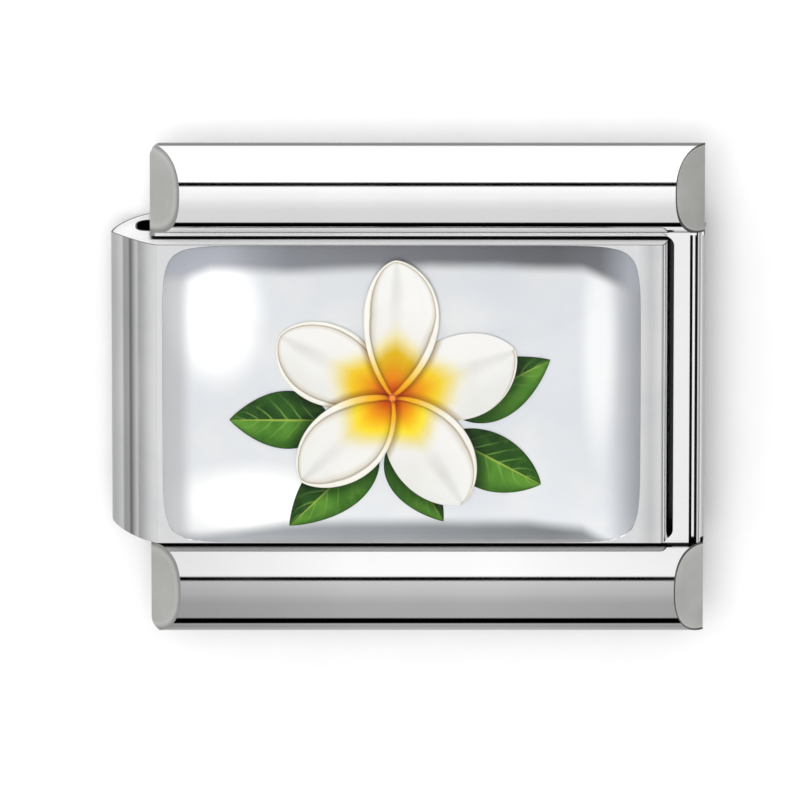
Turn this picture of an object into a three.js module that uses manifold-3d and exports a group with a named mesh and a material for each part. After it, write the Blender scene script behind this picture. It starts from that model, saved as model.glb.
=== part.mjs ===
// One link of a modular bracelet in polished stainless steel, lying face up on its flat back.
// A flattened steel sleeve, open at both sides, carries a printed flower under a clear resin dome.
// A steel frame runs round three sides of it and reaches into it with two tongues, which a leaf
// spring holds down, so that the frame can be drawn out to the right and springs back.
// X runs along the bracelet, Y across it and Z out of the face. The origin is under the middle.

import * as THREE from "three";
import { mergeVertices } from "three/addons/utils/BufferGeometryUtils.js";
import Module from "manifold-3d";

const wasm = await Module();
wasm.setup();

// ---------------------------------------------------------------- driving dimensions, in millimetres

const LINK_LENGTH = 10.27;
const LINK_WIDTH = 9.0;
const FACE_Z = 1.64; // the sleeve's flat front, above its flat back at 0
const SIDE_GAP = 0.05; // between the sleeve's open sides and the frame
const LAYER_GAP = 0.005; // between the thin layers laid on the face

const SLEEVE = {
  left: -LINK_LENGTH / 2,
  right: 4.52,
  halfWidth: 2.753,
  noseLength: 0.796,
  noseTipZ: 0.71,
  noseRoundness: 1.3,
  endDepth: 0.18,
  endRoundness: 2.5,
  lipDepth: 0.26, // the folded sheet's right edge, which reaches under the frame's band
  lipTop: 0.84,
  noseTaper: 0.11,
  cornerRadius: 0.08,
};
const HOLLOW = { left: -4.69, right: 4.17, bottom: 0.4, top: 0.91, radius: 0.18 };
const SEAM = { x: 0.9, width: 0.04 };

const BAR = {
  left: -4.457,
  right: 5.106,
  innerY: SLEEVE.halfWidth + SIDE_GAP,
  crownY: 3.6845,
  crownBaseZ: 1.27,
  outerRoundness: 2.3,
  innerRoundness: 2.6,
  undersideZ: 0.12,
  undersideY: 3.25,
  undersideRoundness: 1.3,
  bevelLeft: 0.51,
  bevelRight: 0.51,
  cornerRadius: 0.24,
};
const BAND = {
  left: 4.578,
  right: 4.855,
  grooveRight: 4.99,
  bottom: 0.92,
  top: 1.33,
  grooveDepth: 0.09,
  grooveSlope: 0.045,
  rootX: 4.16, // where the band's strip starts, inside the bars
  cornerRadius: 0.18,
};
const TONGUE = { left: 0.05, right: 3.0, bottom: 0.42, top: 0.66, innerY: 0.85 };
const SPRING = {
  halfLength: 3.9,
  middleX: -0.25,
  halfWidth: 2.4,
  thickness: 0.06,
  low: 0.68,
  rise: 0.15,
};

const FILM = { thickness: 0.03, margin: 0.06, gap: 0.01 };
const PRINT_THICKNESS = 0.05;
const DOME = {
  middleX: -0.122,
  halfLength: 4.13,
  halfWidth: 2.745,
  cornerRadius: 0.66,
  wall: 0.1,
  crown: 0.34,
  fullness: 2.4,
};

// The flower's own centre on the face. A blade's two bulges lie left and right of the line from
// its root to its tip, and its peak is the share of that line where it is widest.
const FLOWER = { x: -0.277, y: 0.0, eyeRadius: 0.07 };
const PRINT_GAP = 0.012;
const PETALS = [
  { name: "petal_top", angle: 88.4, length: 2.51, left: 0.54, right: 0.77, peak: 0.575 },
  { name: "petal_lower_left", angle: -135.7, length: 2.22, left: 0.71, right: 0.645, peak: 0.53 },
  { name: "petal_lower_right", angle: -58.4, length: 2.32, left: 0.74, right: 0.68, peak: 0.53 },
  { name: "petal_right", angle: 21.8, length: 2.29, left: 0.665, right: 0.87, peak: 0.54 },
  { name: "petal_upper_left", angle: 150.1, length: 2.26, left: 0.78, right: 0.68, peak: 0.56 },
];
const PETAL_FULLNESS = 1.4;
const LEAVES = [
  { name: "leaf_left", x: -1.08, y: -0.43, angle: 180, length: 1.73, left: 0.53, right: 0.54 },
  { name: "leaf_upper_right", x: 1.0, y: -0.26, angle: 28.7, length: 1.96, left: 0.52, right: 0.56 },
  { name: "leaf_lower_right", x: 0.91, y: -0.7, angle: -29, length: 1.89, left: 0.46, right: 0.59 },
  { name: "leaf_lower_left", x: -0.29, y: -0.89, angle: -134.8, length: 2.12, left: 0.53, right: 0.5 },
  { name: "leaf_bottom", x: 0.04, y: -0.78, angle: -61.2, length: 1.75, left: 0.3, right: 0.5 },
];
const LEAF_PEAKS = {
  leaf_left: 0.42,
  leaf_upper_right: 0.4,
  leaf_lower_right: 0.47,
  leaf_lower_left: 0.42,
  leaf_bottom: 0.42,
};
const LEAF_FULLNESS = 1.6;

const ARC_STEPS = 14; // in a quarter turn
const BLADE_STEPS = 22; // along each side of a petal or leaf
const PAST = 1; // how far a cutting solid runs past what it cuts
const CIRCLE = 2; // the exponent of a round arc

// ---------------------------------------------------------------------------------------- materials

const steel = (roughness) =>
  new THREE.MeshStandardMaterial({ color: 0xc9cbcc, metalness: 1, roughness });
const ink = (color) => new THREE.MeshStandardMaterial({ color, metalness: 0, roughness: 0.45 });
const clearResin = () =>
  new THREE.MeshStandardMaterial({
    color: 0xf4f7f8,
    roughness: 0.05,
    transparent: true,
    opacity: 0.3,
  });

// ------------------------------------------------------------------------------------ shape helpers

const degrees = (angle) => THREE.MathUtils.degToRad(angle);
const power = (value, exponent) => Math.sign(value) * Math.abs(value) ** exponent;

// Points along part of a superellipse: an exponent of 2 is an ellipse, less is more pointed.
function superArc(centreX, centreY, radiusX, radiusY, exponent, from, to, steps = ARC_STEPS) {
  return Array.from({ length: steps + 1 }, (_, i) => {
    const turn = degrees(from + ((to - from) * i) / steps);
    const x = power(Math.cos(turn), 2 / exponent);
    const y = power(Math.sin(turn), 2 / exponent);
    return new THREE.Vector2(centreX + radiusX * x, centreY + radiusY * y);
  });
}

function roundedRectangle(left, right, bottom, top, radius) {
  const corner = (x, y, from) =>
    superArc(x, y, radius, radius, CIRCLE, from, from + 90, ARC_STEPS / 2);
  return [
    ...corner(right - radius, bottom + radius, -90),
    ...corner(right - radius, top - radius, 0),
    ...corner(left + radius, top - radius, 90),
    ...corner(left + radius, bottom + radius, 180),
  ];
}

// A manifold solid of a closed three.js geometry.
function solidOf(geometry) {
  geometry.deleteAttribute("normal");
  geometry.deleteAttribute("uv");
  const merged = mergeVertices(geometry, 1e-5);
  return new wasm.Manifold(
    new wasm.Mesh({
      numProp: 3,
      vertProperties: merged.attributes.position.array,
      triVerts: new Uint32Array(merged.index.array),
    }),
  );
}

// An outline drawn in the plane of the first two axes and drawn out along the third.
function extruded(points, from, to, basis) {
  const shape = new THREE.Shape(points);
  const geometry = new THREE.ExtrudeGeometry(shape, { depth: to - from, bevelEnabled: false });
  return solidOf(geometry.translate(0, 0, from).applyMatrix4(basis));
}
const X = new THREE.Vector3(1, 0, 0);
const Y = new THREE.Vector3(0, 1, 0);
const Z = new THREE.Vector3(0, 0, 1);
const PLAN = new THREE.Matrix4().makeBasis(X, Y, Z);
const ACROSS = new THREE.Matrix4().makeBasis(X, Z, Y.clone().negate());
const ALONG = new THREE.Matrix4().makeBasis(Y, Z, X);

// A plan outline drawn upwards, a section in X and Z drawn across, and one in Y and Z drawn along.
const upwards = (points, bottom, top) => extruded(points, bottom, top, PLAN);
const across = (points, halfWidth) => extruded(points, -halfWidth, halfWidth, ACROSS);
const along = (points, left, right) => extruded(points, left, right, ALONG);

function box(left, right, near, far, bottom, top) {
  const geometry = new THREE.BoxGeometry(right - left, far - near, top - bottom);
  return solidOf(geometry.translate((left + right) / 2, (near + far) / 2, (bottom + top) / 2));
}

// A closed surface over a run of rings with the same number of points, shut by a point at each end.
function ringed(startPoint, rings, endPoint) {
  const size = rings[0].length;
  const points = [startPoint, ...rings.flat(), endPoint];
  const last = points.length - 1;
  const at = (ring, i) => 1 + ring * size + (i % size);
  const index = [];
  for (let i = 0; i < size; i++) {
    index.push(0, at(0, i + 1), at(0, i));
    for (let ring = 0; ring + 1 < rings.length; ring++) {
      index.push(at(ring, i), at(ring + 1, i + 1), at(ring + 1, i));
      index.push(at(ring, i), at(ring, i + 1), at(ring + 1, i + 1));
    }
    index.push(at(rings.length - 1, i), at(rings.length - 1, i + 1), last);
  }
  const geometry = new THREE.BufferGeometry().setFromPoints(points).setIndex(index);
  return solidOf(geometry);
}

function meshOf(name, solid, material) {
  const { vertProperties, triVerts } = solid.getMesh();
  const geometry = new THREE.BufferGeometry()
    .setAttribute("position", new THREE.BufferAttribute(vertProperties, 3))
    .setIndex(new THREE.BufferAttribute(triVerts, 1));
  geometry.computeVertexNormals();
  const mesh = new THREE.Mesh(geometry, material);
  mesh.name = name;
  return mesh;
}

// ------------------------------------------------------------------------------------ sleeve, spring

// The sleeve's section: a pointed nose at the left, flat front and back, a blunt right end whose
// lower half is the folded sheet's lip.
function sleeveSection() {
  const noseX = SLEEVE.left + SLEEVE.noseLength;
  const endX = SLEEVE.right - SLEEVE.endDepth;
  const nose = (height, from, to) =>
    superArc(noseX, SLEEVE.noseTipZ, SLEEVE.noseLength, height, SLEEVE.noseRoundness, from, to);
  const half = FACE_Z / 2;
  const lipMiddle = SLEEVE.lipTop / 2;
  const lip = superArc(
    endX, lipMiddle, SLEEVE.lipDepth, lipMiddle, SLEEVE.endRoundness, -90, 90, 2 * ARC_STEPS,
  ).filter((point) => point.y < lipMiddle || point.x > SLEEVE.right);
  return [
    ...lip,
    ...superArc(endX, half, SLEEVE.endDepth, half, SLEEVE.endRoundness, 0, 90),
    ...nose(FACE_Z - SLEEVE.noseTipZ, 90, 180),
    ...nose(SLEEVE.noseTipZ, 180, 270).slice(1),
  ];
}

// In plan the nose narrows a little, and the right corners and the lip keep clear of the frame's
// rounded corners.
function sleevePlan() {
  const { left, right, halfWidth, cornerRadius: radius } = SLEEVE;
  const noseX = left + SLEEVE.noseLength;
  const tipY = halfWidth - SLEEVE.noseTaper;
  const upper = [
    new THREE.Vector2(right + PAST, halfWidth - radius),
    ...superArc(right - radius, halfWidth - radius, radius, radius, CIRCLE, 0, 90, ARC_STEPS / 2),
    ...superArc(noseX, tipY, SLEEVE.noseLength, SLEEVE.noseTaper, CIRCLE, 90, 180),
  ];
  const lower = upper.map((point) => new THREE.Vector2(point.x, -point.y)).reverse();
  return [...upper, ...lower];
}

function makeSleeve() {
  const reach = SLEEVE.halfWidth + PAST;
  const { left, right, bottom, top, radius } = HOLLOW;
  const hollow = across(roundedRectangle(left, right, bottom, top, radius), reach);
  const seamLeft = SEAM.x - SEAM.width / 2;
  const seam = box(seamLeft, seamLeft + SEAM.width, -reach, reach, -PAST, (bottom + top) / 2);
  return across(sleeveSection(), SLEEVE.halfWidth)
    .intersect(upwards(sleevePlan(), -PAST, FACE_Z + PAST))
    .subtract(hollow)
    .subtract(seam);
}

// A thin bowed strip that lies over the tongues and bears up on the hollow's top at both ends.
function makeSpring() {
  const { halfLength, middleX, thickness, low, rise } = SPRING;
  const under = Array.from({ length: 2 * ARC_STEPS + 1 }, (_, i) => {
    const share = i / ARC_STEPS - 1;
    return new THREE.Vector2(middleX + share * halfLength, low + rise * share * share);
  });
  const over = under.map((point) => new THREE.Vector2(point.x, point.y + thickness)).reverse();
  return across([...under, ...over], SPRING.halfWidth);
}

// -------------------------------------------------------------------------------------------- frame

// A side bar's section: a crowned front, and an underside that slopes in to the sleeve's side.
function barSection() {
  const halfWidth = LINK_WIDTH / 2 - BAR.crownY;
  const height = FACE_Z - BAR.crownBaseZ;
  const crownHalf = (roundness, from) =>
    superArc(BAR.crownY, BAR.crownBaseZ, halfWidth, height, roundness, from, from + 90);
  const inner = crownHalf(BAR.innerRoundness, 90).slice(1);
  const underside = superArc(
    BAR.undersideY,
    BAR.crownBaseZ,
    LINK_WIDTH / 2 - BAR.undersideY,
    BAR.crownBaseZ - BAR.undersideZ,
    BAR.undersideRoundness,
    -90,
    0,
  ).slice(0, -1);
  return [
    new THREE.Vector2(BAR.innerY, BAND.top),
    new THREE.Vector2(BAR.innerY, BAR.undersideZ),
    ...underside,
    ...crownHalf(BAR.outerRoundness, 0),
    ...inner.filter((point) => point.y >= BAND.top),
  ];
}

// The bars' ends are cut off by sloping planes, which leave a D-shaped flat on each crown.
function endCutter(edgeX, depth, side) {
  const height = FACE_Z - BAR.crownBaseZ;
  const reach = height + PAST;
  const triangle = [
    new THREE.Vector2(edgeX, BAR.crownBaseZ),
    new THREE.Vector2(edgeX - (side * depth * reach) / height, BAR.crownBaseZ + reach),
    new THREE.Vector2(edgeX + side * PAST, BAR.crownBaseZ + reach),
    new THREE.Vector2(edgeX + side * PAST, BAR.crownBaseZ),
  ];
  return across(triangle, LINK_WIDTH);
}

// The bars' plan: the two outer corners at the left end are rounded.
function barPlan() {
  const halfWidth = LINK_WIDTH / 2;
  const radius = BAR.cornerRadius;
  const corner = (y, from) =>
    superArc(BAR.left + radius, y, radius, radius, CIRCLE, from, from + 90);
  return [
    new THREE.Vector2(BAR.right, -halfWidth),
    new THREE.Vector2(BAR.right, halfWidth),
    ...corner(halfWidth - radius, 90),
    ...corner(radius - halfWidth, 180),
  ];
}

// The band across the right end: a flat strip, a groove, and a rounded edge.
function bandSection() {
  const edgeX = LINK_LENGTH / 2;
  const depth = edgeX - BAND.grooveRight;
  const grooveZ = BAND.top - BAND.grooveDepth;
  const height = BAND.top - BAND.bottom;
  return [
    new THREE.Vector2(BAND.rootX, BAND.bottom),
    ...superArc(BAND.grooveRight, BAND.bottom, depth, height, CIRCLE, 0, 90),
    new THREE.Vector2(BAND.grooveRight - BAND.grooveSlope, grooveZ),
    new THREE.Vector2(BAND.right + BAND.grooveSlope, grooveZ),
    new THREE.Vector2(BAND.right, BAND.top),
    new THREE.Vector2(BAND.rootX, BAND.top),
  ];
}

function makeFrame() {
  const section = barSection();
  const mirrored = section.map((point) => new THREE.Vector2(-point.x, point.y)).reverse();
  const bars = along(section, BAR.left, BAR.right)
    .add(along(mirrored, BAR.left, BAR.right))
    .intersect(upwards(barPlan(), -PAST, FACE_Z + PAST))
    .subtract(endCutter(BAR.left, BAR.bevelLeft, -1))
    .subtract(endCutter(BAR.right, BAR.bevelRight, 1));
  const opening = roundedRectangle(
    -LINK_LENGTH, BAND.left, -BAR.innerY, BAR.innerY, BAND.cornerRadius,
  );
  const band = across(bandSection(), BAR.innerY + SIDE_GAP)
    .subtract(upwards(opening, 0, FACE_Z));
  const { left, right, bottom, top, innerY } = TONGUE;
  const root = BAR.innerY + SIDE_GAP;
  return bars
    .add(band)
    .add(box(left, right, innerY, root, bottom, top))
    .add(box(left, right, -root, -innerY, bottom, top));
}

// ----------------------------------------------------------------------------- film, print and dome

const domeOutline = (inset) => {
  const { middleX, halfLength, halfWidth, cornerRadius } = DOME;
  const length = halfLength - inset;
  const width = halfWidth - inset;
  return roundedRectangle(middleX - length, middleX + length, -width, width, cornerRadius - inset);
};

const FILM_BOTTOM = FACE_Z + LAYER_GAP;
const PRINT_BOTTOM = FILM_BOTTOM + FILM.thickness + LAYER_GAP;
const PRINT_TOP = PRINT_BOTTOM + PRINT_THICKNESS;

const makeFilm = () => upwards(domeOutline(FILM.margin), FILM_BOTTOM, FILM_BOTTOM + FILM.thickness);

// The dome is a pillow over the film. Its underside has a shallow recess that holds film and print.
function makeDome() {
  const base = domeOutline(0);
  const ring = (outline, scale, z) =>
    outline.map(({ x, y }) => {
      const centred = (x - DOME.middleX) * scale;
      return new THREE.Vector3(DOME.middleX + centred, y * scale, z);
    });
  const recess = domeOutline(FILM.margin - FILM.gap);
  const wallTop = FILM_BOTTOM + DOME.wall;
  const crownAt = (scale) => wallTop + DOME.crown * (1 - scale ** DOME.fullness);
  const crown = Array.from({ length: ARC_STEPS }, (_, i) => {
    const scale = Math.cos(degrees((90 * i) / ARC_STEPS));
    return ring(base, scale, crownAt(scale));
  });
  const ceiling = PRINT_TOP + LAYER_GAP;
  const top = new THREE.Vector3(DOME.middleX, 0, wallTop + DOME.crown);
  const under = new THREE.Vector3(DOME.middleX, 0, ceiling);
  return ringed(
    under,
    [ring(recess, 1, ceiling), ring(recess, 1, FILM_BOTTOM), ring(base, 1, FILM_BOTTOM), ...crown],
    top,
  );
}

// How wide a blade is at a share of its length: 0 at both ends and 1 at its peak.
function bladeWidth(share, peak, fullness) {
  const rise = (share / peak) ** (fullness * peak);
  const fall = ((1 - share) / (1 - peak)) ** (fullness * (1 - peak));
  return rise * fall;
}

function blade({ x = 0, y = 0, angle, length, left, right, peak }, fullness, grow) {
  const direction = new THREE.Vector2(1, 0).rotateAround(new THREE.Vector2(), degrees(angle));
  const at = (share, bulge) => {
    const width = bladeWidth(share, peak, fullness) * bulge;
    return new THREE.Vector2(
      FLOWER.x + x + direction.x * share * (length + grow) - direction.y * width,
      FLOWER.y + y + direction.y * share * (length + grow) + direction.x * width,
    );
  };
  const share = (i) => (1 - Math.cos((Math.PI * i) / BLADE_STEPS)) / 2;
  const outline = [];
  for (let i = 0; i < BLADE_STEPS; i++) {
    outline.push(at(share(i), -right - grow));
  }
  for (let i = BLADE_STEPS; i > 0; i--) {
    outline.push(at(share(i), left + grow));
  }
  return outline;
}

const printed = (outline) => upwards(outline, PRINT_BOTTOM, PRINT_TOP);
const cutting = (outline) => upwards(outline, PRINT_BOTTOM - PAST, PRINT_TOP + PAST);
function eye(grow) {
  const radius = FLOWER.eyeRadius + grow;
  return superArc(FLOWER.x, FLOWER.y, radius, radius, CIRCLE, 0, 360, 2 * ARC_STEPS).slice(1);
}

// The eye, petals and leaves, from the topmost down. Each is cut where those before it cover it.
function makePrint() {
  const layers = [{ name: "flower_eye", outline: eye, color: 0xe87a1c }];
  for (const petal of PETALS) {
    const outline = (grow) => blade(petal, PETAL_FULLNESS, grow);
    layers.push({ name: petal.name, outline, color: 0xf4f2e6 });
  }
  for (const leaf of LEAVES) {
    const peak = LEAF_PEAKS[leaf.name];
    const outline = (grow) => blade({ ...leaf, peak }, LEAF_FULLNESS, grow);
    layers.push({ name: leaf.name, outline, color: 0x3f7d2a });
  }
  return layers.map(({ name, outline, color }, i) => {
    const above = layers.slice(0, i).map((layer) => cutting(layer.outline(PRINT_GAP)));
    const solid = above.reduce((left, cutter) => left.subtract(cutter), printed(outline(0)));
    return meshOf(name, solid, ink(color));
  });
}

// ----------------------------------------------------------------------------------------- assembly

const face = new THREE.Group();
face.add(
  meshOf("sleeve", makeSleeve(), steel(0.22)),
  meshOf("leaf_spring", makeSpring(), steel(0.3)),
  meshOf("silver_film", makeFilm(), steel(0.35)),
  meshOf("resin_dome", makeDome(), clearResin()),
  ...makePrint(),
);

const link = new THREE.Group();
link.add(face, meshOf("outer_frame", makeFrame(), steel(0.15)));

export default link;
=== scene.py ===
"""Looks of one link of a modular bracelet: polished steel, with a plumeria under a resin dome.

Every shape is worked out in millimetres in the CAD's own frame and turned into metres as its mesh
is made. X runs along the bracelet, Y across it and Z out of the face.
"""

import math

import bmesh
import bpy
import numpy as np
from mathutils import Matrix, Vector


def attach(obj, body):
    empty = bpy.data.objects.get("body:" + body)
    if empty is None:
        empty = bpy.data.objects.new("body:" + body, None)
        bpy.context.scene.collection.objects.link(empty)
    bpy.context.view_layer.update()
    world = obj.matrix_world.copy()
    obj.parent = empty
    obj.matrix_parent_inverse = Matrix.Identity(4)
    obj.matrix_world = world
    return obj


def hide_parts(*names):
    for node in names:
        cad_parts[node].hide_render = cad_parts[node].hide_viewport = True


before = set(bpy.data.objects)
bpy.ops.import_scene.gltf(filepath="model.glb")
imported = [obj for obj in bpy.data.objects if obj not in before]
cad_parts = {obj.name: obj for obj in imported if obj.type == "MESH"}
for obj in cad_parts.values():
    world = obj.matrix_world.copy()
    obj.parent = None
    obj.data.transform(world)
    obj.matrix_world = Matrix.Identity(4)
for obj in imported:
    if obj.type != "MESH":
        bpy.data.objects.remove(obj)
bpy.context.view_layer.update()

MM = 0.001

# ---- driving dimensions, as in the CAD, in millimetres

LINK_LENGTH = 10.27
LINK_WIDTH = 9.0
FACE_Z = 1.64
SIDE_GAP = 0.05

SLEEVE = dict(
    left=-5.135, right=4.52, half_width=2.753, corner_radius=0.08,
    nose_length=0.796, nose_tip_z=0.71, nose_roundness=1.3, nose_taper=0.11,
    end_depth=0.18, end_roundness=2.5, lip_depth=0.26, lip_top=0.84,
)
HOLLOW = dict(left=-4.69, right=4.17, bottom=0.4, top=0.91, radius=0.18)
SEAM = dict(x=0.9, width=0.04)
BAR = dict(
    left=-4.457, right=5.106, inner_y=2.803, corner_radius=0.24,
    crown_y=3.6845, crown_base_z=1.27, inner_roundness=2.6, outer_roundness=2.3,
    underside_z=0.12, underside_y=3.25, underside_roundness=1.3,
    bevel_left=0.51, bevel_right=0.51,
)
BAND = dict(
    left=4.578, right=4.855, bottom=0.92, top=1.33, radius=0.18,
    groove_right=4.99, groove_depth=0.09,
)
TONGUE = dict(left=0.05, right=3.0, bottom=0.42, top=0.66, radius=0.03)
TONGUE_INNER_Y = 0.85
SPRING = dict(half_length=3.9, middle_x=-0.25, half_width=2.4, thickness=0.06, low=0.68, rise=0.15)
FILM = dict(bottom=1.645, thickness=0.005, margin=0.003)
DOME = dict(middle_x=-0.122, half_length=4.13, half_width=2.745, top=2.083)
FLOWER = dict(x=-0.277, y=0.0)

CROWN_STEPS = 60
LIP_STEPS = 96
LIP_PAST = 0.01  # how far inside the sleeve's end the lip's own outline stops
NEAR = 0.001  # closer than this counts as touching
WELD = 1e-5
GENTLE_BEND = 29  # in degrees: a sharper bend between two faces shows as an edge
EDGE_ROUND = 0.014  # how far the steel's sharp edges are broken
FINE_ROUND = 0.006  # the same on the frame's thin ledge
CAP_OUTLINE = 0.026  # the painted dark shade line round the sheet's cut edge
HIDDEN_Z = 1.3  # below this the sleeve's right end, which faces the band, is painted near-black as shade
# A steel piece's materials are listed in this order, after the polished one.
# INNER_SIDE is near-black painted shade for walls down in the gaps, EDGE_LINE a painted dark shade
# line.
CUT_FACE, INNER_SIDE, EDGE_LINE = 1, 2, 3


# ---- mesh helpers


def linked(name, mesh, body, replaced, materials):
    """An object of that mesh, riding on its body and standing for its CAD nodes."""
    for material in materials:
        mesh.materials.append(material)
    piece = bpy.data.objects.new(name, mesh)
    bpy.context.scene.collection.objects.link(piece)
    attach(piece, body)
    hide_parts(*replaced)


def mesh_of(name, points, faces):
    mesh = bpy.data.meshes.new(name)
    mesh.from_pydata([tuple(MM * float(c) for c in point) for point in points], [], faces)
    mesh.shade_smooth()
    return mesh


def super_arc(centre_u, centre_v, radius_u, radius_v, roundness, start, end, steps):
    """Points along part of a superellipse, from start to end in degrees, as in the CAD."""
    turns = np.radians(np.linspace(start, end, steps + 1))
    u = np.sign(np.cos(turns)) * np.abs(np.cos(turns)) ** (2 / roundness)
    v = np.sign(np.sin(turns)) * np.abs(np.sin(turns)) ** (2 / roundness)
    return [(centre_u + radius_u * a, centre_v + radius_v * b) for a, b in zip(u, v)]


def rounded_rectangle(left, right, bottom, top, radius, steps=10):
    def corner(u, v, start):
        return super_arc(u, v, radius, radius, 2, start, start + 90, steps)

    return [
        *corner(right - radius, bottom + radius, -90),
        *corner(right - radius, top - radius, 0),
        *corner(left + radius, top - radius, 90),
        *corner(left + radius, bottom + radius, 180),
    ]


PLACES = {
    "across": lambda u, v, t: (u, t, v),
    "along": lambda u, v, t: (t, u, v),
    "upwards": lambda u, v, t: (u, v, t),
}


def prism(outline, way, low, high):
    """A bmesh of an outline drawn out along one axis; low and high may be functions of u."""
    place = PLACES[way]
    made = bmesh.new()
    ends = []
    for limit in (low, high):
        at = limit if callable(limit) else lambda u, fixed=limit: fixed
        ends.append([made.verts.new(place(u, v, at(u))) for u, v in outline])
    size = len(outline)
    for i in range(size):
        j = (i + 1) % size
        made.faces.new((ends[0][i], ends[0][j], ends[1][j], ends[1][i]))
    made.faces.new(ends[0])
    made.faces.new(ends[1])
    bmesh.ops.recalc_face_normals(made, faces=made.faces)
    return made


def trim(made, point, normal, finish=0):
    """Cuts off what lies beyond a plane and closes the cut with a face of that finish."""
    geometry = made.verts[:] + made.edges[:] + made.faces[:]
    cut = bmesh.ops.bisect_plane(
        made, geom=geometry, dist=WELD, plane_co=point, plane_no=normal, clear_outer=True
    )
    edges = [e for e in cut["geom_cut"] if isinstance(e, bmesh.types.BMEdge)]
    filled = bmesh.ops.holes_fill(made, edges=edges, sides=0)
    for face in filled["faces"]:
        face.material_index = finish
    bmesh.ops.recalc_face_normals(made, faces=made.faces)


def even_normals(mesh):
    """Shades each corner by the faces round it that it bends into gently, the large ones most."""
    gentle = math.cos(math.radians(GENTLE_BEND))
    around = [[] for _ in mesh.vertices]
    for face in mesh.polygons:
        for vertex in face.vertices:
            around[vertex].append((face.normal.copy(), face.area))
    corners = []
    for face in mesh.polygons:
        normal = face.normal
        for vertex in face.vertices:
            near = [n * area for n, area in around[vertex] if n.dot(normal) > gentle]
            corners.append(sum(near, Vector()).normalized())
    mesh.normals_split_custom_set(corners)


def finished(name, made, body, node, materials, sharp, broken=EDGE_ROUND, edge_finish=-1):
    """Breaks the edges that bend by more than sharp degrees and makes the bmesh a piece."""
    bmesh.ops.remove_doubles(made, verts=made.verts, dist=WELD)
    bend = math.radians(sharp)
    corners = [e for e in made.edges if len(e.link_faces) == 2 and e.calc_face_angle(0) > bend]
    bmesh.ops.bevel(
        made, geom=corners, offset=broken, segments=2, profile=0.5,
        affect="EDGES", clamp_overlap=True, material=edge_finish,
    )
    bmesh.ops.scale(made, vec=(MM, MM, MM), verts=made.verts)
    mesh = bpy.data.meshes.new(name)
    made.to_mesh(mesh)
    made.free()
    mesh.shade_smooth()
    even_normals(mesh)
    linked(name, mesh, body, [node], materials)


def stacked_rings(rings, size):
    """The faces of rings of points one inside the next, closed by a last point and a flat base."""
    faces = []
    for ring in range(rings - 1):
        for i in range(size):
            j = (i + 1) % size
            a, b = ring * size, (ring + 1) * size
            faces.append((a + i, a + j, b + j, b + i))
    last, middle = (rings - 1) * size, rings * size
    faces.extend((last + i, last + (i + 1) % size, middle) for i in range(size))
    return [*faces, tuple(reversed(range(size)))]


# ---- materials


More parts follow.
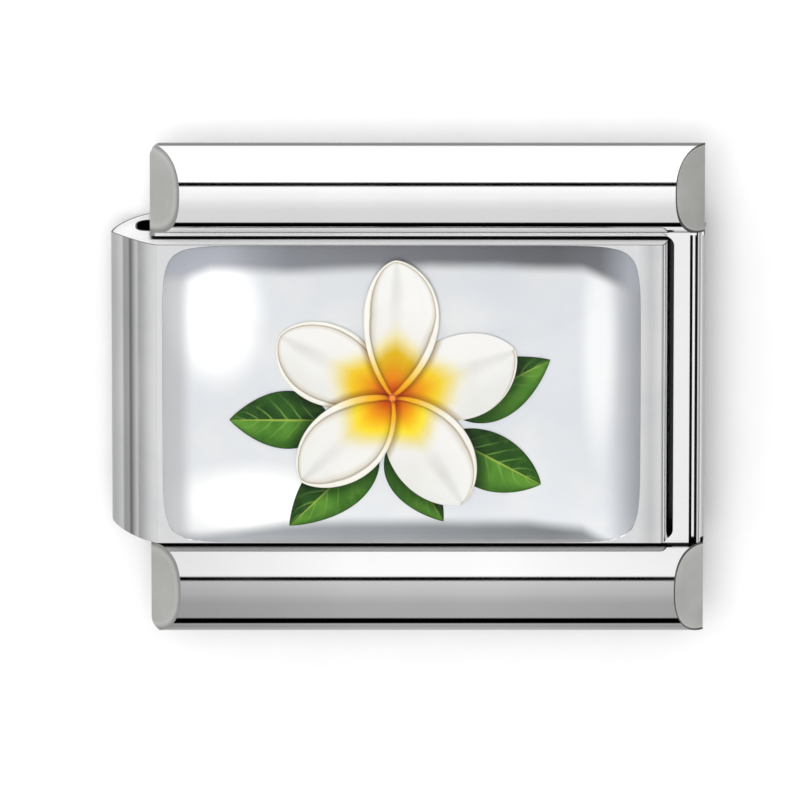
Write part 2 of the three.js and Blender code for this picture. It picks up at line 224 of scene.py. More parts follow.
class Shader:
    """The node tree of a material or world, with one short call for each kind of node."""

    def __init__(self, owner, output="ShaderNodeOutputMaterial"):
        owner.use_nodes = True
        self.owner = owner
        self.tree = owner.node_tree
        self.tree.nodes.clear()
        self.output = self.add(output)

    def add(self, kind, **settings):
        node = self.tree.nodes.new(kind)
        for key, value in settings.items():
            setattr(node, key, value)
        return node

    def put(self, socket, value):
        if isinstance(value, bpy.types.NodeSocket):
            self.tree.links.new(value, socket)
        elif value is not None:
            socket.default_value = (*value, 1) if isinstance(value, tuple) else value

    def math(self, operation, a, b=None, c=None, clamp=False):
        node = self.add("ShaderNodeMath", operation=operation, use_clamp=clamp)
        for socket, value in zip(node.inputs, (a, b, c)):
            self.put(socket, value)
        return node.outputs[0]

    def times(self, a, b):
        return self.math("MULTIPLY", a, b)

    def step(self, value, start, end, low=0.0, high=1.0):
        """Rises smoothly from low to high while value goes from start to end."""
        node = self.add("ShaderNodeMapRange", interpolation_type="SMOOTHSTEP")
        for socket, given in zip(node.inputs, (value, start, end, low, high)):
            self.put(socket, given)
        return node.outputs[0]

    def ramp(self, value, stops, interpolation="EASE"):
        node = self.add("ShaderNodeValToRGB")
        ramp = node.color_ramp
        ramp.interpolation = interpolation
        while len(ramp.elements) < len(stops):
            ramp.elements.new(0.5)
        for element, (position, colour) in zip(ramp.elements, stops):
            element.position = position
            element.color = (*colour, 1)
        self.put(node.inputs["Fac"], value)
        return node.outputs["Color"]

    def profile(self, value, pairs):
        """A number that follows the value along straight lines between the pairs."""
        ends = [at for at, _ in pairs]
        levels = [level for _, level in pairs]
        left, span = ends[0], ends[-1] - ends[0]
        low, rise = min(levels), max(levels) - min(levels)
        share = self.math("MULTIPLY_ADD", value, 1 / span, -left / span)
        stops = [((at - left) / span, grey((level - low) / rise)) for at, level in pairs]
        return self.math("MULTIPLY_ADD", self.ramp(share, stops, "LINEAR"), rise, low)

    def mix(self, share, a, b, blend="MIX"):
        node = self.add("ShaderNodeMix", data_type="RGBA", blend_type=blend)
        self.put(node.inputs["Factor"], share)
        colours = [s for s in node.inputs if s.type == "RGBA"]
        for socket, value in zip(colours, (a, b)):
            self.put(socket, value)
        return next(s for s in node.outputs if s.type == "RGBA")

    def tinted(self, surface, colour, share=1.0):
        """The surface, multiplied by the colour as far as the share says."""
        return self.mix(share, surface, colour, "MULTIPLY")

    def attributes(self, *names):
        """What a mesh's points carry under those names."""
        return [
            self.add("ShaderNodeAttribute", attribute_name=name).outputs["Fac"] for name in names
        ]

    def place(self, stretch=(1, 1, 1)):
        """Object coordinates in millimetres, stretched along the axes."""
        mapping = self.add("ShaderNodeMapping")
        mapping.inputs["Scale"].default_value = tuple(s / MM for s in stretch)
        coordinates = self.add("ShaderNodeTexCoord")
        self.put(mapping.inputs["Vector"], coordinates.outputs["Object"])
        return mapping.outputs["Vector"]

    def axes(self):
        """X, Y and Z of the object's coordinates in millimetres."""
        split = self.add("ShaderNodeSeparateXYZ")
        self.put(split.inputs[0], self.place())
        return split.outputs

    def fill(self, kind, **values):
        """A node with those inputs, where _ stands for a space."""
        node = self.add(kind)
        for key, value in values.items():
            self.put(node.inputs[key.replace("_", " ")], value)
        return node

    def noise(self, vector, scale, detail, roughness):
        values = dict(Vector=vector, Scale=scale, Detail=detail, Roughness=roughness)
        return self.fill("ShaderNodeTexNoise", **values).outputs["Fac"]

    def bump(self, height, depth):
        """Relief of that depth in millimetres."""
        return self.fill("ShaderNodeBump", Distance=depth * MM, Height=height).outputs["Normal"]

    def principled(self, **values):
        return self.covered(self.fill("ShaderNodeBsdfPrincipled", **values))

    def covered(self, node):
        """Takes that node as the surface."""
        self.put(self.output.inputs["Surface"], node.outputs[0])
        return self.owner


def material_shader(name):
    return Shader(bpy.data.materials.new(name))


def grey(level):
    return (level, level, level)


def steel(name, dark, light, smooth, rough, grain=(1, 40, 40), depth=0.00002, shade=None):
    """Metal with a slightly uneven tone, roughness in patches and fine marks along one way, and the
    painted shade and highlights of a shade function if one is given.
    """
    shader = material_shader(name)
    patches = shader.noise(shader.place(), 0.55, 4.0, 0.6)
    marks = shader.noise(shader.place(grain), 1.0, 4.0, 0.65)
    tone = shader.ramp(patches, [(0.3, dark), (0.7, light)])
    if shade:
        tone = shader.tinted(tone, shade(shader))
    worn = shader.math("MULTIPLY_ADD", marks, 0.5, shader.times(patches, 0.5))
    return shader.principled(
        Metallic=1.0,
        Base_Color=tone,
        Roughness=shader.step(worn, 0.3, 0.7, smooth, rough),
        Normal=shader.bump(marks, depth),
    )


def rim_shade(shader):
    """Painted shade: the outermost line of a side bar is darkened, as a painted dark reflection."""
    _, y, z = shader.axes()
    line = shader.times(shader.step(z, 1.2, 1.26), shader.step(z, 1.35, 1.4, 1, 0))
    outside = shader.step(shader.math("ABSOLUTE", y), 4.38, 4.42)
    return shader.step(shader.times(line, outside), 0.0, 1.0, 1.0, 0.22)


# Painted shade and highlights along X, as pairs of place and level.
LOWER_BAR_PAINTED_SHADE = [(-4.2, 0.8), (-2.4, 0.88), (-1.0, 1.0), (1.6, 1.0), (3.0, 0.94), (4.6, 0.88)]
NOSE_PAINTED_REFLECTIONS = [
    (-5.135, 0.42), (-5.07, 0.49), (-4.95, 0.68), (-4.905, 0.32), (-4.845, 0.45), (-4.8, 0.14),
    (-4.74, 0.45), (-4.64, 1.05), (3.95, 1.07), (4.18, 0.83), (4.35, 1.0),
]


def lower_bar_shade(shader):
    """Painted shade on the lower bar: darker on its outer half and outer edge, by levels along X,
    and at its inner foot, as painted reflections and painted corner shade.
    """
    x, y, z = shader.axes()
    half = shader.step(y, -3.5, -3.34, 0.585, 0.9)
    half = shader.times(half, shader.profile(x, LOWER_BAR_PAINTED_SHADE))
    half = shader.times(half, shader.step(y, -4.42, -4.2, 0.6, 1.0))
    # Painted shade in the corner at the foot of the bar's inner side.
    foot = shader.math("MAXIMUM", shader.step(z, 1.41, 1.46), shader.step(y, -2.99, -2.96, 1, 0))
    return shader.times(shader.times(half, foot), rim_shade(shader))


def crown_share(shader):
    """1 on a side bar's crown and falling inwards, for the line along an end flat's arc."""
    _, y, z = shader.axes()
    half_width = LINK_WIDTH / 2 - BAR["crown_y"]
    out = shader.math("SUBTRACT", shader.math("ABSOLUTE", y), BAR["crown_y"])
    out = shader.math("ABSOLUTE", shader.times(out, 1 / half_width))
    up = shader.math("SUBTRACT", z, BAR["crown_base_z"])
    up = shader.math("MULTIPLY", up, 1 / (FACE_Z - BAR["crown_base_z"]), clamp=True)
    roundness = (BAR["inner_roundness"] + BAR["outer_roundness"]) / 2
    return shader.math(
        "ADD", shader.math("POWER", out, roundness), shader.math("POWER", up, roundness)
    )


def flat_shade(shader):
    """The end flats: a soft band of painted shade along the left ones' arc, and on the right a
    painted highlight beside a sharp painted dark reflection line.
    """
    arc = crown_share(shader)
    right = shader.step(shader.axes()[0], -1.0, 1.0)
    band = shader.profile(arc, [(0.5, 1.0), (0.68, 1.1), (0.78, 0.95), (0.88, 0.66), (1.1, 0.66)])
    line = shader.profile(arc, [(0.5, 1.25), (0.8, 1.3), (0.86, 1.5), (0.91, 0.35), (1.1, 0.1)])
    return shader.math("MULTIPLY_ADD", shader.math("SUBTRACT", line, band), right, band)


def nose_shade(shader):
    """Painted reflections: bands across the sleeve, darker and brighter by turns, at its nose and
    right edge.
    """
    return shader.profile(shader.axes()[0], NOSE_PAINTED_REFLECTIONS)


def rounded_edge_shade(shader):
    """Painted shade: the band's rounded edge is darkened where it turns down."""
    return shader.step(shader.axes()[0], 5.01, 5.12, 0.9, 0.27)


# The bars', band edge's and sleeve's steels get painted shade and highlights from their shade
# functions; the lower bar's steel is a copy of the upper's with more painted shade.
SHINY = (grey(0.93), grey(0.96), 0.03, 0.06)
polished = steel("polished_upper_steel", *SHINY, shade=rim_shade)
polished_lower = steel("polished_lower_steel", *SHINY, shade=lower_bar_shade)
polished_band = steel("polished_band_steel", grey(0.92), grey(0.96), 0.13, 0.18)
polished_edge = steel(
    "polished_edge_steel", grey(0.92), grey(0.96), 0.06, 0.1, shade=rounded_edge_shade
)
sleeve_steel = steel(
    "polished_sleeve_steel", (0.69, 0.695, 0.705), (0.77, 0.77, 0.775), 0.08, 0.15,
    grain=(40, 1, 40), shade=nose_shade,
)
# Near-black painted shade for walls down in the gaps between the parts.
inner_steel = steel(
    "near_black_painted_shade_steel", grey(0.008), grey(0.018), 0.5, 0.7, (20, 20, 20), 0.0004
)
# A painted dark shade line along the sleeve's broken edges and round its cut faces.
edge_line = steel("painted_shade_edge_steel", grey(0.06), grey(0.12), 0.35, 0.5, (20, 20, 20), 0.0002)
ground = steel(
    "ground_steel", (0.52, 0.52, 0.5), (0.63, 0.63, 0.615), 0.38, 0.52,
    grain=(30, 3, 30), depth=0.0003, shade=flat_shade,
)
spring_metal = steel("spring_steel", (0.62, 0.61, 0.59), (0.72, 0.71, 0.69), 0.14, 0.24, (2, 60, 2))


def cut_edge_material():
    """The sheet's cut edge: bright where it shows, with near-black painted shade down in the gap at
    the frame.
    """
    shader = material_shader("cut_edge_steel")
    x, _, z = shader.axes()
    marks = shader.noise(shader.place((30, 4, 4)), 1.0, 4.0, 0.65)
    bright = shader.ramp(marks, [(0.3, grey(0.93)), (0.7, grey(0.99))])
    # Painted shade: near-black, and without sheen, low down in the gap beside the frame.
    deep = shader.times(shader.step(z, 1.33, 1.38, 1, 0), shader.step(x, -4.5, -4.4))
    return shader.principled(
        Metallic=0.0,
        Sheen_Weight=shader.math("SUBTRACT", 1.0, deep),
        Sheen_Roughness=0.4,
        Base_Color=shader.mix(deep, bright, grey(0.01)),
        Roughness=shader.step(marks, 0.3, 0.7, 0.32, 0.45),
        Normal=shader.bump(marks, 0.0002),
    )


# The film's painted dark reflection bands, above and below: where each begins across the film, and
# its tone.
FILM_TOP_EDGE = [(-3.9, 2.15), (-3.4, 2.33), (-2.1, 2.27), (0.4, 2.39), (3.0, 2.33), (3.8, 1.95)]
FILM_TOP_PAINTED_SHADE = [(-3.2, 0.4), (-2.1, 0.24), (0.4, 0.17), (2.5, 0.115), (3.3, 0.15), (3.8, 0.39)]
FILM_FOOT_EDGE = [
    (-3.6, -2.6), (-2.1, -2.37), (-1.1, -2.32), (2.1, -2.33), (3.0, -2.45), (3.5, -2.75),
]
FILM_FOOT_PAINTED_SHADE = [(-2.9, 0.33), (-1.1, 0.28), (0.5, 0.245), (2.5, 0.175), (3.4, 0.25)]
FILM_BAND_SOFTNESS = 0.14


def film_material():
    """The silvery backing, with a fine pearly bump: painted highlights, and painted shade at its
    ends, in dark reflection bands above and below and along the dome's foot.
    """
    shader = material_shader("silver_backing")
    x, y, _ = shader.axes()
    clouds = shader.noise(shader.place(), 0.9, 3.0, 0.5)
    pearl = shader.noise(shader.place(), 45.0, 2.0, 0.6)
    sway = shader.math("MULTIPLY_ADD", clouds, 0.3, -0.15)

    # A painted highlight's share: a soft patch, strongest at its middle.
    def highlight_pool(centre_x, centre_y, reach_x, reach_y, strength):
        across = shader.math("MULTIPLY_ADD", x, 1 / reach_x, -centre_x / reach_x)
        up = shader.math("MULTIPLY_ADD", y, 1 / reach_y, -centre_y / reach_y)
        both = shader.math("MULTIPLY_ADD", up, up, shader.times(across, across))
        away = shader.math("ADD", shader.math("SQRT", both), sway)
        return shader.step(away, 0.35, 1.25, strength, 0)

    def band(tone, side, edge, levels, colour):
        """Painted shade: darkens the film past a line across it, towards +Y or -Y, with a soft
        border, as a dark reflection band.
        """
        past = shader.times(shader.math("SUBTRACT", y, shader.profile(x, edge)), side)
        past = shader.math("MULTIPLY_ADD", sway, 0.25, past)
        share = shader.step(past, -FILM_BAND_SOFTNESS, FILM_BAND_SOFTNESS)
        return shader.mix(share, tone, shader.tinted(shader.profile(x, levels), colour))

    tone = shader.ramp(clouds, [(0.3, (0.665, 0.69, 0.725)), (0.7, (0.72, 0.73, 0.74))])
    # Painted highlights: a glare at the upper left, a broad one at the lower left and a narrow one
    # near the right end.
    glare = highlight_pool(-3.3, 1.5, 0.8, 1.3, 1.0)
    tone = shader.mix(glare, tone, (1.0, 1.0, 1.0))
    tone = shader.mix(highlight_pool(-2.7, -1.95, 1.5, 0.7, 0.9), tone, (1.0, 1.0, 0.98))
    # Painted shade towards the film's left and right ends.
    tone = shader.mix(shader.step(x, -3.98, -3.68, 0.7, 0), tone, (0.42, 0.42, 0.43))
    tone = shader.mix(shader.step(x, 3.3, 3.98, 0, 0.9), tone, (0.3, 0.31, 0.34))
    tone = shader.mix(highlight_pool(3.28, 0.9, 0.32, 2.2, 0.5), tone, (1.0, 1.0, 0.99))
    tone = band(tone, 1, FILM_TOP_EDGE, FILM_TOP_PAINTED_SHADE, (0.95, 0.99, 1.1))
    tone = band(tone, -1, FILM_FOOT_EDGE, FILM_FOOT_PAINTED_SHADE, (0.95, 1.0, 1.06))
    # Painted shade along the film's lower edge, except at its left end.
    foot = shader.times(shader.step(y, -2.72, -2.64, 0.8, 0), shader.step(x, -3.0, -2.4))
    tone = shader.mix(foot, tone, (0.3, 0.29, 0.275))
    # Where the glare is painted the film is less metallic, so the lamp lights it white.
    return shader.principled(
        Metallic=shader.math("MULTIPLY_ADD", glare, -0.4, 0.4),
        Base_Color=tone,
        Roughness=shader.step(clouds, 0.25, 0.75, 0.4, 0.46),
        Normal=shader.bump(pearl, 0.00012),
    )


def resin_material():
    """Clear resin, as glass that lets the lights' rays through to the print."""
    shader = material_shader("clear_dome_resin")
    swell = shader.noise(shader.place(), 0.8, 1.0, 0.4)
    tone = shader.ramp(swell, [(0.3, grey(0.985)), (0.7, grey(1.0))])
    glass = shader.fill("ShaderNodeBsdfGlass", IOR=1.25, Roughness=0.0, Color=tone)
    clear = shader.add("ShaderNodeBsdfTransparent")
    path = shader.add("ShaderNodeLightPath")
    both = shader.add("ShaderNodeMixShader")
    shader.put(both.inputs["Fac"], path.outputs["Is Shadow Ray"])
    shader.put(both.inputs[1], glass.outputs[0])
    shader.put(both.inputs[2], clear.outputs[0])
    return shader.covered(both)


# ---- sleeve, spring


def sleeve_half_width(x):
    """The sleeve's plan: the nose narrows a little and the right corners are eased."""
    half = SLEEVE["half_width"]
    nose_x = SLEEVE["left"] + SLEEVE["nose_length"]
    if x < nose_x:
        share = min((nose_x - x) / SLEEVE["nose_length"], 1)
        return half - SLEEVE["nose_taper"] * (1 - math.sqrt(1 - share * share))
    radius = SLEEVE["corner_radius"]
    past = x - (SLEEVE["right"] - radius)
    if past > 0:
        return half - radius + math.sqrt(max(radius * radius - past * past, 0))
    return half


def sleeve_outline():
    """The folded sheet's section as one loop: round the outside, in at the seam, round inside."""
    nose_x = SLEEVE["left"] + SLEEVE["nose_length"]
    end_x = SLEEVE["right"] - SLEEVE["end_depth"]
    half = FACE_Z / 2
    tip = SLEEVE["nose_tip_z"]
    roundness, blunt = SLEEVE["nose_roundness"], SLEEVE["end_roundness"]
    mid = SLEEVE["lip_top"] / 2
    lip = super_arc(end_x, mid, SLEEVE["lip_depth"], mid, blunt, -90, 90, LIP_STEPS)
    lip = [p for p in lip if p[1] < half / 2 or p[0] > SLEEVE["right"] - LIP_PAST]
    end = super_arc(end_x, half, SLEEVE["end_depth"], half, blunt, 0, 90, LIP_STEPS // 2)
    nose, steps = SLEEVE["nose_length"], 2 * CROWN_STEPS
    over = super_arc(nose_x, tip, nose, FACE_Z - tip, roundness, 90, 180, steps)
    under = super_arc(nose_x, tip, nose, tip, roundness, 180, 270, steps)
    seam_left = SEAM["x"] - SEAM["width"] / 2
    seam_right = SEAM["x"] + SEAM["width"] / 2
    hollow = rounded_rectangle(**HOLLOW)
    bottom = HOLLOW["bottom"]
    inside = [(seam_left, bottom), *reversed(hollow), (seam_right, bottom)]
    return [(seam_right, 0), *lip, *end, *over, *under[1:], (seam_left, 0), *inside]


def make_sleeve():
    made = prism(sleeve_outline(), "across", lambda x: -sleeve_half_width(x), sleeve_half_width)
    hidden_x = SLEEVE["right"] - SLEEVE["end_depth"] / 6
    caps = [face for face in made.faces if len(face.verts) > 4]
    # The right end's lower part, facing the band, takes the near-black painted shade.
    for face in made.faces:
        if all(v.co.x > hidden_x and v.co.z < HIDDEN_Z for v in face.verts):
            face.material_index = INNER_SIDE
    for face in caps:
        face.material_index = CUT_FACE
    # A painted dark shade line rings each cut face; the bevels take it too.
    outline = bmesh.ops.inset_region(made, faces=caps, thickness=CAP_OUTLINE, use_even_offset=True)
    for face in outline["faces"]:
        face.material_index = EDGE_LINE
    steels = [sleeve_steel, cut_edge_material(), inner_steel, edge_line]
    name, slot = "sleeve_shell", "polished_steel"
    finished(name, made, "face", "sleeve", steels, 50, edge_finish=EDGE_LINE)


def make_spring():
    shares = np.linspace(-1, 1, 49)
    x = SPRING["middle_x"] + shares * SPRING["half_length"]
    z = SPRING["low"] + SPRING["rise"] * shares**2
    under = list(zip(x, z))
    over = [(u, v + SPRING["thickness"]) for u, v in reversed(under)]
    made = prism([*under, *over], "across", -SPRING["half_width"], SPRING["half_width"])
    finished("spring_strip", made, "face", "leaf_spring", [spring_metal], 50)


# ---- frame


def frame_piece(name, made, materials, sharp, broken=EDGE_ROUND):
    finished(name, made, "frame", "outer_frame", materials, sharp, broken)


def trim_ends(made):
    """The sloping planes that leave a D-shaped flat at each end, and the eased left corners."""
    height = FACE_Z - BAR["crown_base_z"]
    base = BAR["crown_base_z"]
    trim(made, (BAR["left"], 0, base), (-height, 0, BAR["bevel_left"]), CUT_FACE)
    trim(made, (BAR["right"], 0, base), (height, 0, BAR["bevel_right"]), CUT_FACE)
    radius = BAR["corner_radius"]
    centre = (BAR["left"] + radius, LINK_WIDTH / 2 - radius)
    for side in (-1, 1):
        for turn in np.radians(np.arange(7.5, 90, 15)):
            normal = (-math.cos(turn), side * math.sin(turn), 0)
            point = (centre[0] + radius * normal[0], side * centre[1] + radius * normal[1], 0)
            trim(made, point, normal)


def bar_outline():
    """A side bar's section: a crowned front, and an underside that slopes in to the sleeve."""
    width = LINK_WIDTH / 2
    base = BAR["crown_base_z"]

    def arc(y, height, roundness, start):
        return super_arc(y, base, width - y, height, roundness, start, start + 90, CROWN_STEPS)

    crown = [
        *arc(BAR["crown_y"], FACE_Z - base, BAR["outer_roundness"], 0),
        *arc(BAR["crown_y"], FACE_Z - base, BAR["inner_roundness"], 90)[1:],
    ]
    crown = [p for p in crown if p[1] > BAND["top"] or p[0] > BAR["crown_y"]]
    drop = base - BAR["underside_z"]
    underside = arc(BAR["underside_y"], drop, BAR["underside_roundness"], -90)[:-1]
    foot = crown[-1][0]
    return [
        (foot, BAND["top"] - SIDE_GAP),
        (BAR["inner_y"], BAND["top"] - SIDE_GAP),
        (BAR["inner_y"], BAR["underside_z"]),
        *underside,
        *crown,
    ]


def mark_inner_walls(made, reach_x=LINK_LENGTH):
    """Paints the sides that face the sleeve near-black, as painted shade, up to that X."""
    for face in made.faces:
        if all(v.co.x < reach_x and abs(v.co.y) < BAR["inner_y"] + NEAR for v in face.verts):
            face.material_index = INNER_SIDE


def make_bar(name, side, metal):
    outline = [(side * y, z) for y, z in bar_outline()]
    made = prism(outline, "along", BAR["left"], BAR["right"])
    trim_ends(made)
    mark_inner_walls(made)
    frame_piece(name, made, [metal, ground, inner_steel], 38)


def make_band():
    """The ledge round the sleeve, the groove across the right end and the rounded edge."""
    inner, radius, left = BAR["inner_y"], BAND["radius"], BAND["left"]
    outer = inner + 2 * SIDE_GAP
    corner = super_arc(left - radius, inner - radius, radius, radius, 2, 0, 90, 16)
    plan = [
        (BAR["left"], outer),
        (BAR["left"], inner),
        *reversed(corner),
        *[(x, -y) for x, y in corner],
        (BAR["left"], -inner),
        (BAR["left"], -outer),
        (BAND["right"], -outer),
        (BAND["right"], outer),
    ]
    ledge = prism(plan, "upwards", BAND["bottom"], BAND["top"])
    trim_ends(ledge)
    mark_inner_walls(ledge, left + NEAR)
    frame_piece("frame_ledge", ledge, [polished_band, ground, inner_steel], 40, FINE_ROUND)

    groove_z = BAND["top"] - BAND["groove_depth"]
    slope = BAND["groove_depth"] / 2
    depth = LINK_LENGTH / 2 - BAND["groove_right"]
    height = BAND["top"] - BAND["bottom"]
    section = [
        (BAND["right"] - slope, BAND["bottom"]),
        *super_arc(BAND["groove_right"], BAND["bottom"], depth, height, 2, 0, 90, 32),
        (BAND["groove_right"] - slope, groove_z),
        (BAND["right"] + slope, groove_z),
        (BAND["right"] + slope, groove_z - slope),
        (BAND["right"] - slope, groove_z - slope),
    ]
    edge = prism(section, "across", -outer, outer)
    # The groove's walls take the near-black painted shade; its floor takes the band's steel.
    for face in edge.faces:
        if all(v.co.x < BAND["groove_right"] + NEAR for v in face.verts):
            on_floor = all(abs(v.co.z - groove_z) < NEAR for v in face.verts)
            face.material_index = 1 if on_floor else INNER_SIDE
    finishes = [polished_edge, polished_band, inner_steel]
    frame_piece("frame_rounded_edge", edge, finishes, 40, FINE_ROUND)


def make_tongues():
    root = BAR["inner_y"] + SIDE_GAP
    outline = rounded_rectangle(**TONGUE, steps=3)
    for name, near, far in (
        ("frame_tongue_upper", TONGUE_INNER_Y, root),
        ("frame_tongue_lower", -root, -TONGUE_INNER_Y),
    ):
        frame_piece(name, prism(outline, "across", near, far), [polished_band], 60)


# ---- film and dome

DOME_STEEPNESS = 1.15  # of the broad swell, per millimetre
DOME_SHARPNESS = 3.12
EDGE_SHARE = 0.12  # of the height that the steep edge takes
EDGE_STEEPNESS = 4.0
OUTLINE_CORNER = 0.66  # the radius that spaces the points round the outline
DOME_TURNS = 320
DOME_RINGS = 72


def edge_sum(x, y, inset=0.0):
    """1 on the dome's outline and falling fast inside it."""
    rate = DOME_STEEPNESS * DOME_SHARPNESS
    length = DOME["half_length"] - inset
    width = DOME["half_width"] - inset
    across = x - DOME["middle_x"]
    gaps = (length - across, length + across, width - y, width + y)
    return sum(np.exp(-rate * gap) for gap in gaps)


def dome_outline(turns, inset=0.0):
    """The distance from the middle to the outline in each direction."""
    low = np.zeros_like(turns)
    high = np.full_like(turns, DOME["half_length"] + DOME["half_width"])
    for _ in range(50):
        middle = (low + high) / 2
        x = DOME["middle_x"] + middle * np.cos(turns)
        outside = edge_sum(x, middle * np.sin(turns), inset) > 1
        high = np.where(outside, middle, high)
        low = np.where(outside, low, middle)
    return low


def dome_height(x, y):
    total = np.minimum(edge_sum(x, y), 1)
    broad = 1 - total ** (1 / DOME_SHARPNESS)
    steep = 1 - total ** (EDGE_STEEPNESS / DOME_SHARPNESS)
    full = DOME["top"] - FILM["bottom"]
    return FILM["bottom"] + full * ((1 - EDGE_SHARE) * broad + EDGE_SHARE * steep)


def dome_turns(steps):
    """Directions spaced evenly along the outline's sides rather than by angle."""
    length, width = DOME["half_length"], DOME["half_width"]
    sides = rounded_rectangle(-length, length, -width, width, OUTLINE_CORNER, 16)
    ring = np.array([*sides, sides[0]])
    lengths = np.concatenate([[0], np.cumsum(np.linalg.norm(np.diff(ring, axis=0), axis=1))])
    marks = np.linspace(0, lengths[-1], steps, endpoint=False)
    x, y = (np.interp(marks, lengths, ring[:, i]) for i in (0, 1))
    return np.arctan2(y, x)


def make_dome():
    turns = dome_turns(DOME_TURNS)
    reach = dome_outline(turns)
    scales = 1 - np.linspace(0, 1, DOME_RINGS, endpoint=False) ** 2
    points = []
    for scale in scales:
        x = DOME["middle_x"] + scale * reach * np.cos(turns)
        y = scale * reach * np.sin(turns)
        points.extend(zip(x, y, dome_height(x, y)))
    points.append((DOME["middle_x"], 0, float(dome_height(np.array(DOME["middle_x"]), 0))))
    mesh = mesh_of("dome_resin", points, stacked_rings(len(scales), len(turns)))
    mesh.polygons[len(mesh.polygons) - 1].use_smooth = False
    linked("dome_resin", mesh, "face", ["resin_dome"], [resin_material()])
    mesh.set_sharp_from_angle(angle=math.radians(75))


def make_film():
    turns = dome_turns(DOME_TURNS // 2)
    reach = dome_outline(turns, FILM["margin"])
    outline = list(zip(DOME["middle_x"] + reach * np.cos(turns), reach * np.sin(turns)))
    low = FILM["bottom"] + NEAR
    made = prism(outline, "upwards", low, low + FILM["thickness"])
    film = [film_material()]
    finished("silver_backing", made, "face", "silver_film", film, 60, NEAR)


# ---- flower

LEAF_BOTTOM = 1.656
LEAF_STEP = 0.003  # from one leaf to the next one over it
PETAL_BOTTOM = 1.672
PETAL_STEP = 0.014
SHEET = 0.008  # a blade's thickness
RIM_RISE = 0.011
PETAL_FULLNESS = 1.4
LEAF_FULLNESS = 1.6
EYE_RADIUS = 0.075
EYE_RISE = 0.014
EYE_TURNS, EYE_RINGS = 48, 12
PETAL_GRID = (96, 49)  # rows along a blade and points across it
LEAF_GRID = (64, 33)
SIDE_STEPS = 160

# As in the CAD, topmost first: the root from the flower's middle, the direction from root to tip in
# degrees, the length, the widths left and right of that line, and the share of the length where
# they are greatest.
SHAPE = ("name", "x", "y", "angle", "length", "left", "right", "peak")
PETALS = [
    ("top", 0, 0, 88.4, 2.51, 0.54, 0.77, 0.575),
    ("lower_left", 0, 0, -135.7, 2.22, 0.71, 0.645, 0.53),
    ("lower_right", 0, 0, -58.4, 2.32, 0.74, 0.68, 0.53),
    ("right", 0, 0, 21.8, 2.29, 0.665, 0.87, 0.54),
    ("upper_left", 0, 0, 150.1, 2.26, 0.78, 0.68, 0.56),
]
LEAVES = [
    ("left", -1.08, -0.43, 180, 1.73, 0.53, 0.54, 0.42),
    ("upper_right", 1.0, -0.26, 28.7, 1.96, 0.52, 0.56, 0.4),
    ("lower_right", 0.91, -0.7, -29, 1.89, 0.46, 0.59, 0.47),
    ("lower_left", -0.29, -0.89, -134.8, 2.12, 0.53, 0.5, 0.42),
    ("bottom", 0.04, -0.78, -61.2, 1.75, 0.3, 0.5, 0.42),
]
# A petal's curled rims: widths in millimetres at these shares of its length, left and right.
RIM_SHARES = (0, 0.12, 0.3, 0.45, 0.6, 0.8, 0.93, 1)
FLAT_SIDE = (0.0,) * len(RIM_SHARES)
RIMS = {
    "top": (
        (0.05, 0.085, 0.09, 0.095, 0.115, 0.07, 0.035, 0.03),
        (0.06, 0.11, 0.12, 0.11, 0.06, 0.045, 0.04, 0.03),
    ),
    "lower_left": (
        (0.05, 0.085, 0.085, 0.09, 0.11, 0.105, 0.06, 0.03),
        (0.05, 0.12, 0.13, 0.1, 0.065, 0.045, 0.04, 0.03),
    ),
    "lower_right": ((0.05, 0.09, 0.1, 0.105, 0.105, 0.055, 0.03, 0.02), FLAT_SIDE),
    "right": (FLAT_SIDE, (0.0, 0.0, 0.0, 0.0, 0.0, 0.02, 0.035, 0.03)),
    "upper_left": (
        (0.0, 0.02, 0.06, 0.085, 0.085, 0.065, 0.04, 0.03),
        (0.02, 0.05, 0.07, 0.075, 0.07, 0.06, 0.045, 0.03),
    ),
}
# What each point of a blade carries for its material: shares along and across it, distances to the
# outline, to the flower's middle and to the blade over it, and the distance to the outline over the
# rim's width.
FACTS = ("along", "across", "edge", "rim", "core", "overlap")
NO_RIM = 0.004  # a rim narrower than this isn't drawn
FAR = 9.0  # stands for no rim or neighbour nearby


def blade_width(share, peak, fullness):
    rise = (share / peak) ** (fullness * peak)
    fall = ((1 - share) / (1 - peak)) ** (fullness * (1 - peak))
    return rise * fall


def eased_shares(count):
    """From 0 to 1, closer together towards both ends."""
    return (1 - np.cos(np.linspace(0, math.pi, count))) / 2


class Blade:
    """A petal's or leaf's plan: where a share of its length and a signed share across it lie."""

    def __init__(self, row, fullness):
        shape = dict(zip(SHAPE, row))
        self.shape, self.fullness = shape, fullness
        turn = math.radians(shape["angle"])
        self.root = np.array([FLOWER["x"] + shape["x"], FLOWER["y"] + shape["y"]])
        self.forward = np.array([math.cos(turn), math.sin(turn)])
        self.leftward = np.array([-math.sin(turn), math.cos(turn)])

    def at(self, share, across):
        share, across = np.broadcast_arrays(share, across)
        bulge = np.where(across > 0, self.shape["left"], self.shape["right"])
        offset = blade_width(share, self.shape["peak"], self.fullness) * bulge * across
        return (
            self.root
            + self.forward * (share * self.shape["length"])[..., None]
            + self.leftward * offset[..., None]
        )

    def side(self, across):
        return self.at(eased_shares(SIDE_STEPS), across)

    def inside(self, points):
        """Which points lie on the blade."""
        local = points - self.root
        share = local @ self.forward / self.shape["length"]
        offset = local @ self.leftward
        held = np.clip(share, 0, 1)
        bulge = np.where(offset > 0, self.shape["left"], self.shape["right"])
        width = blade_width(held, self.shape["peak"], self.fullness) * bulge
        return (share > 0) & (share < 1) & (np.abs(offset) < width)


